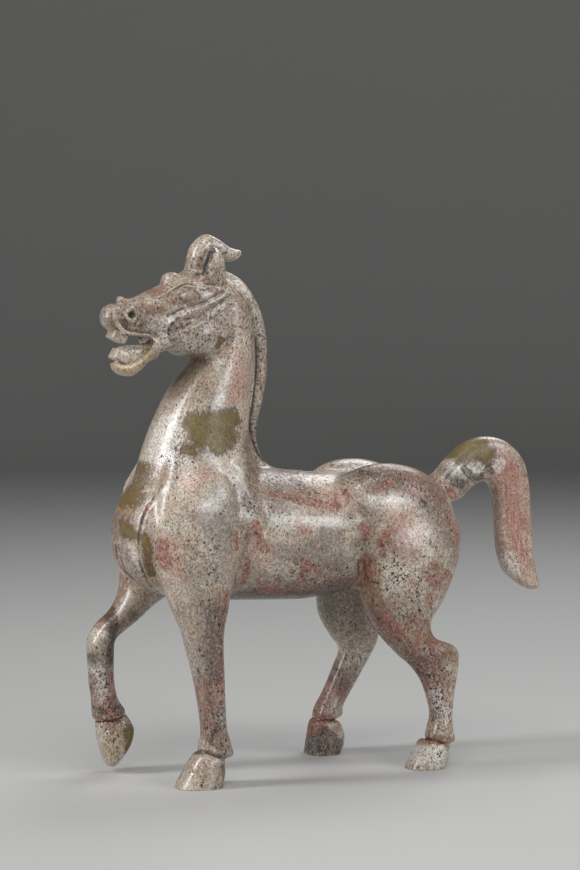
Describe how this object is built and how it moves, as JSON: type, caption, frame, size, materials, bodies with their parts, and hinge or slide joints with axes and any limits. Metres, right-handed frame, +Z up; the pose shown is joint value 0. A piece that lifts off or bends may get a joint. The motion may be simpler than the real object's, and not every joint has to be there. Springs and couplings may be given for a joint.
{
  "type": "jade horse figure",
  "caption": "Standing horse carved from solid stone, a foreleg raised, mouth open, mane cropped to a ridge and tail arched clear of the rump.",
  "frame": {"origin": "centre of the figure's bounding box in plan, at the height of the standing soles", "axes": "+Z up, -X the way the horse faces, -Y its near (left) side"},
  "size_m": [0.274, 0.0882, 0.3],
  "materials": {
    "jade": "polished, speckled with dark pits and stained olive, brown and brick red"
  },
  "bodies": {
    "root": {"horse": "jade"}
  },
  "joints": []
}
